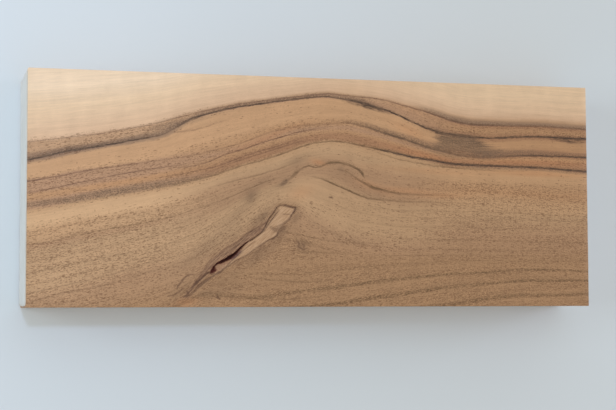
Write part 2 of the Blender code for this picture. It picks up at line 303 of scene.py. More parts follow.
# Wood without pores round the knot: place, half length, half width, turn and strength.
SMOOTH_PATCHES = ((-3, 2, 15, 9, 0, 1), (-20, -12, 14, 6, 50, .5), (-14, -2, 12, 7, 20, .9),
                  (6, -16, 24, 7, -8, .7))

# Rows of open vessels: ring value, half width, and how dark the row is at the left and at the right.
VESSEL_ROWS = (
    (84.5, .3, .25, .1), (88, .4, .6, 0), (92.5, .3, .3, .1), (97, .3, .35, .2), (101.5, .35, .45, .3),
    (106, .3, .3, .4), (110, .35, .5, .2), (116, .4, .5, .45), (121, .3, .35, .4), (127, .3, .35, .4),
    (134, .35, .4, .4), (142, .75, .5, .9), (148, .7, .5, .95), (155, .75, .5, .8))
# Where along the block the darkness at the right takes over from that at the left.
ROWS_TURN = (-50, 10)

# How many pores there are at each ring value.
PORE_DENSITY = (
    (0, 0), (37.5, 0), (40.5, .8), (46, .85), (49.5, .3), (50.5, .1), (56, .12), (58.5, .7), (65, .65),
    (66.5, .45), (68.5, .6), (71, .75), (73.5, .3), (75, .12), (79.5, .15), (83, .8), (89, .9), (93, .85),
    (104, .85), (118, .85), (150, .95), (180, .9))
PORE_DENSITY_KNOT = (
    (0, 0), (38, 0), (41, .5), (47, .3), (49, .12), (56, .15), (58.5, .5), (71, .5), (73.5, .2), (79, .12),
    (86, .3), (98, .25), (110, .45), (121, .6), (140, .8), (180, .85))

# The bark pocket. Each station down the open crack is its place, half its width and its depth.
CRACK = (
    (-58, -42, .3, .6), (-57.2, -41, .9, 1.4), (-56.3, -40, 1.2, 1.8), (-56.2, -38.9, .65, 1.5),
    (-55.6, -38, .3, 1), (-54.4, -36.9, .5, 1.4), (-52.4, -36.3, .95, 2), (-50.7, -35.4, .75, 2.2),
    (-48.8, -34.3, .98, 2.4), (-46.9, -33.1, .9, 2.4), (-45.2, -31.9, .7, 2.2), (-44.1, -30.8, .55, 2),
    (-42.9, -29.6, .5, 1.8), (-41.3, -28.1, .42, 1.6), (-40.1, -26.9, .34, 1.2), (-38.5, -25.9, .24, .9))
# Creases beside it: stations of place, half width, depth and darkness. The darkness is dark seams, and
# painted shade along the tongue's lower edge.
CREASES = (
    ((-37.4, -25.5, .26, .8, .9), (-34.5, -23.4, .24, .6, .75), (-31.6, -21.3, .26, .6, .9),
     (-29.7, -18.4, .26, .6, .95), (-27.3, -13.7, .28, .6, .85), (-24.9, -10.8, .3, .6, .75)),
    ((-24.9, -10.8, .3, .6, .75), (-23.6, -8.5, .32, .5, .7), (-21.9, -7.3, .38, .4, .6),
     (-19.5, -7, .46, .4, .65), (-16.1, -7.9, .5, .4, .75), (-13.4, -8.3, .44, .5, .9),
     (-14.1, -10.2, .44, .5, .85), (-15.6, -11.9, .32, .4, .8), (-16.5, -13.6, .42, .3, .5),
     (-18.5, -15.5, .5, .3, .45), (-21.4, -17.4, .55, .3, .45), (-23.9, -18.4, .4, .3, .4)),
    ((-30.5, -20.8, .22, .2, .5), (-28.2, -17.6, .26, .3, .85), (-25.7, -14.1, .26, .3, .85),
     (-23.8, -11.5, .26, .3, .75), (-22.2, -9.8, .24, .2, .45)),
    # Along the tongue's lower edge: this crease's darkness is painted shade.
    ((-22.9, -20.7, .35, .3, .6), (-23.4, -22.6, .35, .3, .7), (-25.3, -24.1, .35, .3, .7),
     (-27.8, -25, .35, .25, .6), (-32.6, -27.9, .3, .2, .5), (-38.9, -32.4, .3, .15, .4),
     (-44.6, -35.4, .3, .2, .45), (-50.5, -39.3, .35, .25, .6), (-54.6, -42, .4, .3, .75),
     (-58, -44.2, .4, .25, .7), (-63.1, -48.2, .4, .2, .65), (-67, -51.4, .35, .1, .5),
     (-70, -54, .3, .1, .3)),
    ((-29.2, -16.1, .3, .1, .2), (-32.6, -18.9, .5, .1, .3), (-36.5, -20.9, .6, .1, .3),
     (-41.3, -24.4, .6, .15, .25), (-46.1, -27.5, .6, .15, .35), (-50.8, -30.3, .6, .15, .35),
     (-57.5, -35.5, .6, .15, .3), (-60.8, -39.7, .5, .15, .4), (-63.6, -43.8, .4, .15, .35),
     (-66.4, -48, .35, .1, .2)),
    ((-57.7, -41.5, .5, .5, .9), (-59.5, -41.8, .5, .4, .8), (-61.5, -43.2, .55, .4, .85),
     (-63, -44.8, .5, .3, .8), (-65, -46.3, .6, .3, .85), (-66.3, -47.8, .6, .2, .7),
     (-67.7, -49.7, .45, .1, .5), (-68.8, -51.4, .4, 0, .3)),
    ((-65.8, -42.5, .3, 0, .3), (-68.1, -42.5, .35, 0, .55), (-70.5, -43.5, .4, .1, .65),
     (-72, -45, .4, .1, .6), (-73.6, -47.1, .4, .1, .55), (-74.9, -48.6, .4, .1, .65),
     (-75.2, -49.7, .35, 0, .5)),
    ((-56.3, -42.9, .3, .2, .5), (-59.4, -44.8, .4, .2, .6), (-61.8, -46.3, .4, .2, .65),
     (-64.2, -48.2, .45, .2, .7), (-66.1, -50.9, .4, .1, .6), (-67.9, -52.1, .35, 0, .4)),
    ((-57.8, -42.4, .3, .2, .6), (-54.8, -42.3, .35, .2, .7), (-52.8, -41.4, .35, .3, .75),
     (-50.8, -39.4, .3, .3, .6), (-48.8, -37.5, .3, .3, .55), (-47.2, -35.9, .3, .3, .6),
     (-44.9, -34, .3, .2, .45), (-41.2, -31.2, .3, .2, .35)),
    ((-71.6, -53.7, .5, .1, .6), (-70.1, -53.5, .6, .1, .75), (-69.3, -52.2, .5, .1, .7),
     (-70.2, -50.9, .35, 0, .5)),
    ((-79.7, -53.6, .3, 0, .4), (-77.4, -53, .3, 0, .5), (-74.7, -51.7, .3, 0, .5),
     (-72, -49.4, .3, 0, .35)),
    ((-44.9, -26.9, .3, 0, .3), (-40.2, -22.8, .35, .1, .65), (-37.2, -20.7, .38, .1, .7),
     (-34.4, -19.2, .35, .1, .5), (-31.5, -17.8, .3, 0, .45), (-28.7, -16.1, .3, 0, .4)),
    ((-52.1, -33.5, .35, 0, .3), (-48.5, -31, .45, .1, .55), (-44.9, -28.4, .4, .1, .55),
     (-41.2, -25.4, .35, .1, .4), (-38.1, -22.6, .3, 0, .3)),
    ((-20.5, -11.7, .18, .1, .5), (-15.6, -11.9, .18, .1, .5)),
    ((-26.8, -18.5, .6, .2, .35), (-24.6, -19.6, 1.1, .2, .5), (-22, -19.6, 1.2, .1, .5),
     (-19.6, -18.6, 1.0, .1, .4), (-18.4, -17.6, .6, 0, .2)),
    ((-35, -25.6, .2, .1, .35), (-40, -29.4, .25, .1, .5), (-46, -34.4, .25, .1, .5)),
    ((-54.7, -52.7, .3, 0, .5), (-54.5, -54.1, .45, .1, .8), (-53.3, -54.8, .45, .1, .7)),
    ((4.8, -2.6, .3, .1, .5), (5.8, -2.8, .38, .1, .9), (6.4, -3.2, .3, .1, .5)),
    ((-13, -25, .3, 0, .3), (-11.6, -26.6, .35, .1, .6), (-12.2, -28.4, .35, .1, .55),
     (-9.6, -29.8, .35, .1, .65), (-7.2, -29, .3, 0, .35)),
    ((-10.2, -26.8, .3, 0, .35), (-8.8, -28, .35, .1, .55), (-9.4, -29, .3, 0, .3)),
)
# The smooth tongue of wood beside the crack, and the streaky band on its other side, as outlines.
TONGUE = (
    (-21.5, -7.9), (-16.4, -8.4), (-14.4, -9), (-15.2, -11.4), (-17.4, -14.4), (-20.6, -17.2),
    (-22.9, -20.7), (-23.6, -22.6), (-27.8, -25), (-32.6, -27.9), (-38.9, -32.4), (-44.6, -35),
    (-51.3, -40.1), (-57.4, -44.3), (-61, -46.4), (-57, -42.6), (-52, -38.2), (-47, -34.6), (-43, -31),
    (-38.6, -26.7), (-34.2, -23.9), (-30.6, -21), (-27.6, -16.6), (-24.8, -12.2))
STREAKY_BAND = (
    (-29.2, -16.1), (-36.5, -20.9), (-41.3, -24.4), (-46.1, -27.5), (-50.8, -30.3), (-57.5, -35.5),
    (-61.7, -41.5), (-66.4, -48), (-70.5, -53.4), (-66, -47.8), (-61.5, -43.4), (-57.8, -40.8),
    (-54.8, -37.4), (-46.6, -32.6), (-38.6, -25.8), (-31, -20.2))
BARK_BED = (
    (-54.5, -37.6), (-52.1, -37.1), (-50.1, -36.3), (-48.3, -35.4), (-47.5, -35.8), (-49, -37.6),
    (-50.9, -39.4), (-52.9, -41.3), (-55, -42.1), (-57, -42.2), (-56.5, -41.3), (-55.2, -40.6),
    (-55.2, -38.8), (-55, -38))
# The violet strip along the lower side of the crack: stations of place, half width and strength.
VIOLET_STRIP = ((-48.3, -35.5, .4, 0), (-47.2, -34.8, .55, .8), (-45.7, -33.8, .65, .95),
                (-44.1, -32.5, .65, .95), (-42.5, -31, .5, .8), (-41.5, -29.9, .3, 0))
# How ragged the crack and the creases are and how deep the bed of bark is worn, with the lengths and the
# phases of their waves.
POCKET_RAGGED = 0.4
RAGGED_WAVES = ((0.9, 0.47, 0.31), (0.3, 2.1, 4.4))
WORN_DEPTH = 0.25
WORN_WAVES = ((0.7, 0.41), (1.3, 3.3))
# The dark crest over the knot, where the mesh is finer too.
KNOT_CREST = DARK_LINES["knot_crest"][0]

# The wax as the solids have it, in metres: where its film ends, how thick its runs are, and for each run
# its place across the end, its half width, where it starts, where its bead is and its share of the
# thickness. Then how its surface and its rim vary.
WAX_FILM_FACE = 0.1497
WAX_RUN = 0.3 * MM
WAX_RUN_FADE = 6 * MM
WAX_RUN_LEAST = 0.12
WAX_BEAD_SHARE = 0.3
WAX_GAP = 0.02 * MM
WAX_CELL = 0.9 * MM
WAX_STROKES = 0.05 * MM
WAX_DAPPLES = 0.06 * MM
WAX_THIN_RIM = 0.34 * MM
WAX_RIM_WAVE = 0.28 * MM
WAX_CORNER = 0.7 * MM
WAX_RIM_POWER = 15
WAX_BRUSH_WAVES = ((0.42, 0.31, 0.77), (0.4, 1.9, 3.1))
WAX_DAPPLE_WAVES = ((3.1, 4.7, 2.2), (0.9, 2.6, 4.0))
WAX_RIM_WAVES = (5.1 * MM, 2.3 * MM)
BRUSH_STRETCH = 0.09
WAX_RUNS = (
    (-50 * MM, 5.5 * MM, 34 * MM, 7 * MM, 1.0), (-38 * MM, 3.5 * MM, 22 * MM, 4 * MM, 0.7),
    (-24 * MM, 4.5 * MM, 17 * MM, 6 * MM, 0.55), (19 * MM, 3.5 * MM, 15 * MM, 5 * MM, 0.6),
    (33 * MM, 5.0 * MM, 30 * MM, 9 * MM, 0.8), (49 * MM, 3.5 * MM, 25 * MM, 5 * MM, 0.65))


def linear(red, green, blue):
    """A colour as a screen shows it, from 0 to 255, as the light that it stands for."""
    shares = (value / 255 for value in (red, green, blue))
    return tuple(s / 12.92 if s <= 0.04045 else ((s + 0.055) / 1.055) ** 2.4 for s in shares)


def colour_settings(table):
    """Settings for a table of colours, each with its description and its shade on a screen."""
    return {
        key: FloatVectorProperty(
            name=key.replace("_", " ").capitalize(), description=description, subtype="COLOR", size=3, min=0,
            max=1, default=linear(*shade))
        for key, (description, shade) in table.items()}


WOOD_COLOURS = {
    "cream": ("Outer sapwood", (241, 212, 181)),
    "straw": ("Middle sapwood", (234, 201, 166)),
    "fawn": ("Sapwood near the heartwood", (227, 191, 157)),
    "tawny": ("Last of the sapwood", (216, 178, 145)),
    "porous": ("Porous band between the edge and the dark line", (191, 151, 117)),
    "smoke": ("Porous wood above the upper dark line", (151, 119, 95)),
    "apricot": ("Band under the upper dark line", (202, 157, 117)),
    "rosy": ("Porous band under the middle line", (183, 141, 109)),
    "russet": ("Red brown between the lines", (173, 128, 94)),
    "orange": ("Bright strips between the lines", (189, 144, 105)),
    "honey": ("Clear band under the dark lines", (211, 169, 128)),
    "tan": ("Heartwood below the clear band", (197, 155, 116)),
    "heart": ("Plain heartwood", (191, 152, 115)),
    "dusk": ("Darker heartwood", (179, 139, 105)),
    "umber": ("Oldest heartwood", (176, 136, 100)),
    "warm": ("Warm patches", (208, 136, 85)),
    # Pale patches, and a painted sheen where the grain turns over the knot.
    "pale": ("Pale patches", (216, 175, 135)),
    "grey": ("Dull patches", (125, 97, 74)),
    "wedge": ("Lighter streaks of the dark wedge", (142, 112, 87)),
    "wedge_streak": ("Darker streaks of the dark wedge", (100, 77, 60)),
    "ink": ("The black lines", (73, 55, 44)),
    "olive": ("Olive brown of the finer lines", (108, 81, 54)),
    "rust": ("Red brown of the finest lines", (107, 75, 57)),
    "haze": ("Grey brown beside the dark lines", (119, 94, 76)),
    "moss": ("The olive band", (120, 95, 73)),
    "pore": ("Open pores", (108, 74, 50)),
    "feather": ("Brown streaks round the bark pocket", (128, 92, 66)),
    "band": ("Streaky band beside the crack", (176, 136, 106)),
    "band_streak": ("Streaks of that band", (118, 84, 66)),
    "tongue": ("Smooth wood beside the crack", (212, 173, 137)),
    "tongue_streak": ("Streaks of the smooth wood", (178, 136, 100)),
    "bed": ("Worn wood at the end of the crack", (160, 118, 93)),
    "violet": ("Violet strip along the crack", (110, 80, 76)),
    # Dark seams, and painted shade along the tongue's lower edge.
    "crease": ("Creases", (84, 54, 40)),
    "bark": ("Bark in the open crack", (84, 36, 30)),
    "bark_crumbs": ("Crumbs of the bark", (122, 68, 54)),
    # Painted shade: the bark is made darker where the crack is deepest.
    "bark_deep": ("Bark deep in the crack", (56, 26, 22)),
}
WAX_COLOURS = {
    "white": ("Wax between the strokes", (209, 207, 203)),
    "stroke": ("Wax where a stroke left it thick", (227, 225, 221)),
    "run": ("Runs in the wax", (231, 229, 227)),
    "thin": ("Wood that shows through thin wax", (196, 184, 168)),
    "speck": ("Sawdust in the wax", (96, 72, 54)),
}
STAGE_COLOURS = {
    "floor": ("Pale floor", (221, 228, 234)),
    "window": ("Colour of the main light", (192, 217, 255)),
    "left": ("Colour of the light from the left", (223, 245, 255)),
    "right": ("Colour of the light from the right", (221, 230, 255)),
    "room": ("Colour of the light all round", (255, 251, 240)),
}


class BlankSizes(bpy.types.PropertyGroup):
    """Sizes of the block and its wax."""

    length: FloatProperty(
        name="Wood length", description="Length of the wood between the wax", unit="LENGTH",
        default=BLOCK_HIGH.x - BLOCK_LOW.x)
    width: FloatProperty(
        name="Width", description="Width of the block", unit="LENGTH", default=BLOCK_HIGH.y - BLOCK_LOW.y)
    thickness: FloatProperty(
        name="Thickness", description="Thickness of the block", unit="LENGTH",
        default=BLOCK_HIGH.z - BLOCK_LOW.z)
    arris: FloatProperty(
        name="Broken corners", description="How far the corners are broken", unit="LENGTH",
        default=0.4 * MM)
    wax_margin: FloatProperty(
        name="Wax margin", description="How far the wax stays from the corners", unit="LENGTH",
        default=0.6 * MM)


class WoodColours(bpy.types.PropertyGroup):
    """Colours of the wood, from the sapwood to the heart, and of the bark pocket."""

    __annotations__ = colour_settings(WOOD_COLOURS)


class WaxColours(bpy.types.PropertyGroup):
    """Colours of the wax."""

    __annotations__ = colour_settings(WAX_COLOURS)


class StageColours(bpy.types.PropertyGroup):
    """Colours of the floor and of the light."""

    __annotations__ = colour_settings(STAGE_COLOURS)


class StageSettings(bpy.types.PropertyGroup):
    """The light and the camera."""

    window: FloatProperty(name="Window power", description="Power of the main light", default=25.4)
    left: FloatProperty(name="Left power", description="Power of the light from the left", default=6.5)
    right: FloatProperty(name="Right power", description="Power of the light from the right", default=6.5)
    room: FloatProperty(name="Room strength", description="Light from all round", default=0.6)
    lens: FloatProperty(name="Lens", description="Focal length of the camera in millimetres", default=88.09)


def line_height(points, x, softening=GROWTH_SOFTENING):
    """How high a drawn line lies at each x, with its corners softened over some millimetres."""
    xs, ys = np.array(points, float).T
    grid = np.arange(-LINE_REACH, LINE_REACH + LINE_STEP, LINE_STEP)
    heights = np.interp(grid, xs, ys)
    first_slope = (ys[1] - ys[0]) / (xs[1] - xs[0])
    last_slope = (ys[-1] - ys[-2]) / (xs[-1] - xs[-2])
    heights = np.where(grid < xs[0], ys[0] + (grid - xs[0]) * first_slope, heights)
    heights = np.where(grid > xs[-1], ys[-1] + (grid - xs[-1]) * last_slope, heights)
    spread = np.arange(-KERNEL_REACH, KERNEL_REACH + LINE_STEP, LINE_STEP)
    kernel = np.exp(-0.5 * (spread / softening) ** 2)
    heights = np.convolve(heights, kernel / kernel.sum(), "same")
    return np.interp(x, grid, heights)


def line_below(points, x, depth, softening=GROWTH_SOFTENING):
    """The same line in the wood below the top face, where the swell over the knot leans and dies out."""
    chord = np.array((points[0], points[-1]), float)
    slope = (chord[1, 1] - chord[0, 1]) / (chord[1, 0] - chord[0, 0])
    leaned = x - SWELL_LEAN * depth
    swell = line_height(points, leaned, softening) - (chord[0, 1] + (leaned - chord[0, 0]) * slope)
    return chord[0, 1] + (x - chord[0, 0]) * slope + swell * np.exp(-((depth / SWELL_DEPTH) ** 2))


def path_points(path):
    return GROWTH_LINES[path][1] if isinstance(path, str) else path


def on_top_face(y, depth, thickness):
    """Where the ring through each point comes out on the top face, as the rings bend round the heart."""
    rise = thickness - depth - HEART_Z
    squared = (y - HEART_Y) ** 2 + rise**2 - (thickness - HEART_Z) ** 2
    return HEART_Y + np.sqrt(np.maximum(squared, 1))


def ring_values(x, y, depth):
    """The ring value at each place, even between the growth lines."""
    values = [value for value, _ in GROWTH_LINES.values()]
    heights = [line_below(points, x, depth) for _, points in GROWTH_LINES.values()]
    rings = np.zeros_like(x)
    for i in range(len(values) - 1):
        gap = np.maximum(heights[i] - heights[i + 1], LEAST_RING_GAP)
        rings += (values[i + 1] - values[i]) * np.clip((heights[i] - y) / gap, 0, 1)
    rings += np.maximum(heights[-1] - y, 0)
    return rings


def grain_slope(x, y, depth):
    """How steeply the grain rises along the block at each place, in degrees."""
    along = ring_values(x + 1, y, depth) - ring_values(x - 1, y, depth)
    across = ring_values(x, y - 1, depth) - ring_values(x, y + 1, depth)
    return np.degrees(np.arctan2(along, np.maximum(across, 0.2)))


def smooth_step(value, start, end):
    share = np.clip((value - start) / (end - start), 0, 1)
    return share * share * (3 - 2 * share)


def patch_strength(patches, x, y):
    """The strongest of some soft oval patches at each place."""
    strongest = np.zeros_like(x)
    for centre_x, centre_y, half_length, half_width, turn, strength in patches:
        angle = math.radians(turn)
        along = (x - centre_x) * math.cos(angle) + (y - centre_y) * math.sin(angle)
        across = (y - centre_y) * math.cos(angle) - (x - centre_x) * math.sin(angle)
        squared = (along / half_length) ** 2 + (across / half_width) ** 2
        strongest = np.maximum(strongest, strength * np.exp(-squared))
    return strongest


def nearest_on_path(stations, x, y):
    """The distance from each place to a path through stations, and the stations' other values there."""
    stations = np.array(stations, float)
    best = np.full(x.shape, FARTHEST)
    values = np.zeros(x.shape + (stations.shape[1] - 2,))
    for start, end in zip(stations, stations[1:]):
        step = end[:2] - start[:2]
        share = ((x - start[0]) * step[0] + (y - start[1]) * step[1]) / (step @ step)
        share = np.clip(share, 0, 1)
        distance = np.hypot(x - start[0] - share * step[0], y - start[1] - share * step[1])
        nearer = distance < best
        best = np.where(nearer, distance, best)
        mixed = start[2:] + share[..., None] * (end[2:] - start[2:])
        values = np.where(nearer[..., None], mixed, values)
    return best, values


def depth_inside(outline, x, y):
    """How far inside an outline each place lies, below zero where it is outside."""
    closed = outline + outline[:1]
    distance, _ = nearest_on_path(closed, x, y)
    inside = np.zeros(x.shape, bool)
    for (x0, y0), (x1, y1) in zip(closed, closed[1:]):
        crosses = (y0 > y) != (y1 > y)
        inside ^= crosses & (x < x0 + (y - y0) * (x1 - x0) / (y1 - y0 if y1 != y0 else 1e-9))
    return np.where(inside, distance, -distance)


def deselect_all():
    for obj in bpy.context.selected_objects:
        obj.select_set(False)


def add_cuboid(name, low, high):
    """A cuboid between two corners, with its place in its mesh."""
    deselect_all()
    bpy.ops.mesh.primitive_cube_add(size=1, location=(low + high) / 2, scale=high - low)
    obj = bpy.context.active_object
    obj.name = name
    obj.data.name = name
    bpy.ops.object.transform_apply(location=True, rotation=False, scale=True)
    return obj


def cut_edges_along(obj, axis, cuts):
    """Cuts all the edges that run along an axis, in edit mode."""
    bpy.ops.mesh.select_mode(type="EDGE")
    edited = bmesh.from_edit_mesh(obj.data)
    for edge in edited.edges:
        along = edge.verts[1].co - edge.verts[0].co
        edge.select = abs(along[axis]) > 0.999 * along.length
    edited.select_flush_mode()
    bmesh.update_edit_mesh(obj.data)
    bpy.ops.mesh.subdivide(number_cuts=cuts)


def points_of(obj):
    places = np.zeros(len(obj.data.vertices) * 3)
    obj.data.vertices.foreach_get("co", places)
    return places.reshape(-1, 3)


def move_points(obj, places):
    obj.data.vertices.foreach_set("co", places.astype(np.float32).ravel())
    obj.data.update()


def store(obj, name, *columns):
    """Keeps up to three values for each point of a mesh as an attribute that materials can read."""
    columns = list(columns) + [np.zeros(len(obj.data.vertices))] * (3 - len(columns))
    attribute = obj.data.attributes.new(name, "FLOAT_VECTOR", "POINT")
    attribute.data.foreach_set("vector", np.stack(columns, 1).astype(np.float32).ravel())


def finish_mesh(angle=40):
    """Turns the active mesh's faces outwards and shades it smooth, but for its sharp corners."""
    bpy.ops.object.mode_set(mode="EDIT")
    bpy.ops.mesh.select_all(action="SELECT")
    bpy.ops.mesh.normals_make_consistent(inside=False)
    bpy.ops.object.mode_set(mode="OBJECT")
    bpy.ops.object.shade_smooth_by_angle(angle=math.radians(angle))
    bpy.context.view_layer.update()


def wander(x, y, lengths, phases):
    """A smooth uneven wave over x and y, from -1 to 1, that is the same each time."""
    total = np.zeros_like(x)
    for length, phase in zip(lengths, phases):
        total += np.sin(x / length + phase) * np.cos(y / (length * 0.8) + 1.7 * phase)
    return total / len(lengths)


def make_block_mesh(sizes):
    half = Vector((sizes.length / 2, sizes.width / 2, 0))
    obj = add_cuboid("walnut_block_wood", -half, half + Vector((0, 0, sizes.thickness)))
    bpy.ops.object.mode_set(mode="EDIT")
    bpy.ops.mesh.select_all(action="SELECT")
    bpy.ops.mesh.bevel(offset=sizes.arris, segments=ARRIS_SEGMENTS, affect="EDGES")
    for axis, cuts in enumerate(CELL_CUTS):
        cut_edges_along(obj, axis, cuts)
    bpy.ops.mesh.select_mode(type="FACE")
    edited = bmesh.from_edit_mesh(obj.data)
    centres = np.array([face.calc_center_median() for face in edited.faces]) / MM
    reach = np.full(len(centres), FARTHEST)
    for path in (CRACK, KNOT_CREST) + CREASES:
        distance, _ = nearest_on_path(path, centres[:, 0], centres[:, 1])
        reach = np.minimum(reach, distance)
    top = sizes.thickness / MM - ON_TOP
    edge = sizes.width / 2 / MM - KEPT_FROM_EDGE
    near = (reach < POCKET_REACH) & (centres[:, 2] > top) & (centres[:, 1] > -edge)
    for face, chosen in zip(edited.faces, near):
        face.select = bool(chosen)
    edited.select_flush_mode()
    bmesh.update_edit_mesh(obj.data)
    bpy.ops.mesh.subdivide(number_cuts=POCKET_CUTS)
    bpy.ops.object.mode_set(mode="OBJECT")
    return obj


def soft_edge(distance, half_width, inner, outer):
    """One near a path and nought far from it, going smoothly between two shares of its half width."""
    return 1 - smooth_step(distance, half_width * inner, half_width * outer)


def pocket_relief(x, y):
    """How deep the bark pocket is at each place of the top face, with what its material needs: how far
    into the crack, the darkness of the creases, which is dark seams and painted shade along the tongue's
    lower edge, how far inside the tongue, the streaky band and the bed of bark, and how strong the violet
    strip is."""
    ragged = POCKET_RAGGED * wander(x, y, *RAGGED_WAVES)
    distance, values = nearest_on_path(CRACK, x, y)
    half_width = values[:, 0] * (1 + ragged)
    inward = np.clip(1 - distance / (half_width * 1.15), 0, 1)
    deepest = values[:, 1] * smooth_step(inward, 0, 0.75)
    crack = soft_edge(distance, half_width, 0.75, 1.35)
    crease = np.zeros_like(x)
    for path in CREASES:
        distance, values = nearest_on_path(path, x, y)
        half_width = values[:, 0] * (1 + 1.2 * ragged)
        depth = values[:, 1] * np.exp(-((distance / (half_width * 1.2)) ** 2))
        deepest = np.maximum(deepest, depth)
        crease = np.maximum(crease, values[:, 2] * soft_edge(distance, half_width, 0.4, 1.8))
    tongue, band, bed = (depth_inside(outline, x, y) for outline in (TONGUE, STREAKY_BAND, BARK_BED))
    worn = WORN_DEPTH * np.clip(bed + 0.2, 0, 1) * (1 + wander(x, y, *WORN_WAVES))
    deepest = np.maximum(deepest, worn)
    distance, values = nearest_on_path(VIOLET_STRIP, x, y)
    violet = values[:, 1] * soft_edge(distance, values[:, 0], 0.4, 1.6)
    return deepest, crack, crease, tongue, band, bed, violet


def make_block(sizes):
    obj = make_block_mesh(sizes)
    places = points_of(obj)
    x, y, z = (places / MM).T
    x = x * FIGURE_LENGTH / (sizes.length / MM)
    thickness = sizes.thickness / MM
    depth = thickness - z
    on_top = depth < ON_TOP
    deepest, crack, crease, tongue, band, bed, violet = pocket_relief(x, y)
    places[:, 2] -= np.where(on_top, deepest * MM, 0)
    move_points(obj, places)

    across = on_top_face(y, depth, thickness)
    rings = ring_values(x, across, depth)
    store(obj, "grain", x, rings, z)
    left = 1 - smooth_step(x, *LEFT_ZONE)
    right = smooth_step(x, *RIGHT_ZONE)
    deep = np.exp(-((depth / SWELL_DEPTH) ** 2))
    smooth = patch_strength(SMOOTH_PATCHES, x, across) * deep
    store(obj, "zone", left, right, smooth)
    bands = {name: (path, 0, stations) for name, (path, stations) in DARK_LINES.items()}
    bands.update({name: band[1:] for name, band in SMUDGES.items()})
    for name, (path, shift, stations) in bands.items():
        with_rings = isinstance(path, str)
        softening = GROWTH_SOFTENING if with_rings else LINE_SOFTENING
        offset = across - line_below(path_points(path), x, depth, softening) - shift
        along, half_width, darkness = np.array(stations, float).T
        kept = np.interp(x, along, darkness) * (1 if with_rings else deep)
        store(obj, name, offset, np.interp(x, along, half_width), kept)
    shallow = np.exp(-((depth / PATCH_DEPTH) ** 2))
    kinds = (GREY_PATCHES, WARM_PATCHES, PALE_AND_SHEEN_PATCHES)
    store(obj, "patches", *(patch_strength(patches, x, across) * shallow for patches in kinds))
    wedge = np.maximum(depth_inside(WEDGE, x, across), WEDGE_LEAST) - depth * WEDGE_LEAN
    skin = 1 - smooth_step(depth, *SKIN)
    store(obj, "lie", grain_slope(x, across, depth), wedge, violet * skin)
    hole = np.where(on_top, deepest, 0)
    store(obj, "pocket", crack * skin, crease * skin, hole)
    store(obj, "pocket_beds", *(np.where(skin > 0, inside, OUTSIDE) for inside in (tongue, band, bed)))
    finish_mesh()
    return obj


def run_thickness(y, z):
    """How thick the wax runs are at each place on an end, from 0 to 1."""
    thickest = np.zeros_like(y)
    for centre, half_width, start, bead, share in WAX_RUNS:
        across = np.exp(-(((y - centre) / half_width) ** 2))
        down = smooth_step(start - z, 0, WAX_RUN_FADE)
        swelling = 1 - WAX_BEAD_SHARE + WAX_BEAD_SHARE * np.exp(-(((z - bead) / half_width) ** 2))
        thickest = np.maximum(thickest, share * across * down * swelling)
    return np.maximum(thickest - WAX_RUN_LEAST, 0) / (1 - WAX_RUN_LEAST)


def rim_wave(along):
    """How far the wax's rim stays back at each place along an edge."""
    long_wave, short_wave = WAX_RIM_WAVES
    return WAX_RIM_WAVE * (1 - np.sin(along / long_wave) * np.cos(along / short_wave))


def make_wax(name, side, sizes):
    """The wax on the end that faces side * X, brushed across the width, with runs in it."""
    half_width = sizes.width / 2 - sizes.wax_margin
    inner = sizes.length / 2 + WAX_GAP
    ends = sorted((side * inner, side * WAX_FILM_FACE))
    low = Vector((ends[0], -half_width, sizes.wax_margin))
    high = Vector((ends[1], half_width, sizes.thickness - sizes.wax_margin))
    obj = add_cuboid(name, low, high)
    bpy.ops.object.mode_set(mode="EDIT")
    for axis in (1, 2):
        cut_edges_along(obj, axis, round((high[axis] - low[axis]) / WAX_CELL))
    bpy.ops.object.mode_set(mode="OBJECT")
    places = points_of(obj)
    x, y, z = places.T
    outer = np.abs(x) > (inner + WAX_FILM_FACE) / 2
    middle_z = sizes.thickness / 2
    half_height = middle_z - sizes.wax_margin
    across = y / half_width
    up = (z - middle_z) / half_height
    corner = WAX_CORNER * np.abs(across * up) ** WAX_RIM_POWER
    to_rim = np.minimum(half_width - np.abs(y), half_height - np.abs(z - middle_z))
    runs = run_thickness(side * y, z)
    brushed = wander(z / MM, y / MM * BRUSH_STRETCH, *WAX_BRUSH_WAVES)
    dappled = wander(y / MM, z / MM, *WAX_DAPPLE_WAVES)
    film = -WAX_STROKES * (0.6 - 0.4 * brushed) - WAX_DAPPLES * (0.5 - 0.5 * dappled)
    film -= WAX_THIN_RIM * (1 - smooth_step(to_rim, 0, 1.3 * MM))
    places[:, 0] += np.where(outer, side * (film + WAX_RUN * runs), 0)
    near_y = np.sign(y) * np.abs(across) ** WAX_RIM_POWER
    near_z = np.sign(z - middle_z) * np.abs(up) ** WAX_RIM_POWER
    moved_y = near_y * (rim_wave(z) + corner)
    moved_z = near_z * (rim_wave(y) + corner)
    places[:, 1] -= moved_y
    places[:, 2] -= moved_z
    move_points(obj, places)
    thin = 1 - smooth_step(to_rim, 0, 2.4 * MM)
    store(obj, "wax", thin, runs, brushed)
    finish_mesh(angle=60)
    return obj


class Amount:
    """A number that nodes work out. Arithmetic on it adds further nodes."""

    def __init__(self, nodes, socket):
        self.nodes = nodes
        self.socket = socket

    def __add__(self, other):
        return self.nodes.math("ADD", self, other)

    def __sub__(self, other):
        return self.nodes.math("SUBTRACT", self, other)

    def __rsub__(self, other):
        return self.nodes.math("SUBTRACT", other, self)

    def __mul__(self, other):
        return self.nodes.math("MULTIPLY", self, other)

    def __truediv__(self, other):
        return self.nodes.math("DIVIDE", self, other)

    def __abs__(self):
        return self.nodes.math("ABSOLUTE", self)

    def at_least(self, other):
        return self.nodes.math("MAXIMUM", self, other)

    def clamped(self):
        return self.nodes.math("ADD", self, 0, clamp=True)

    __radd__ = __add__
    __rmul__ = __mul__


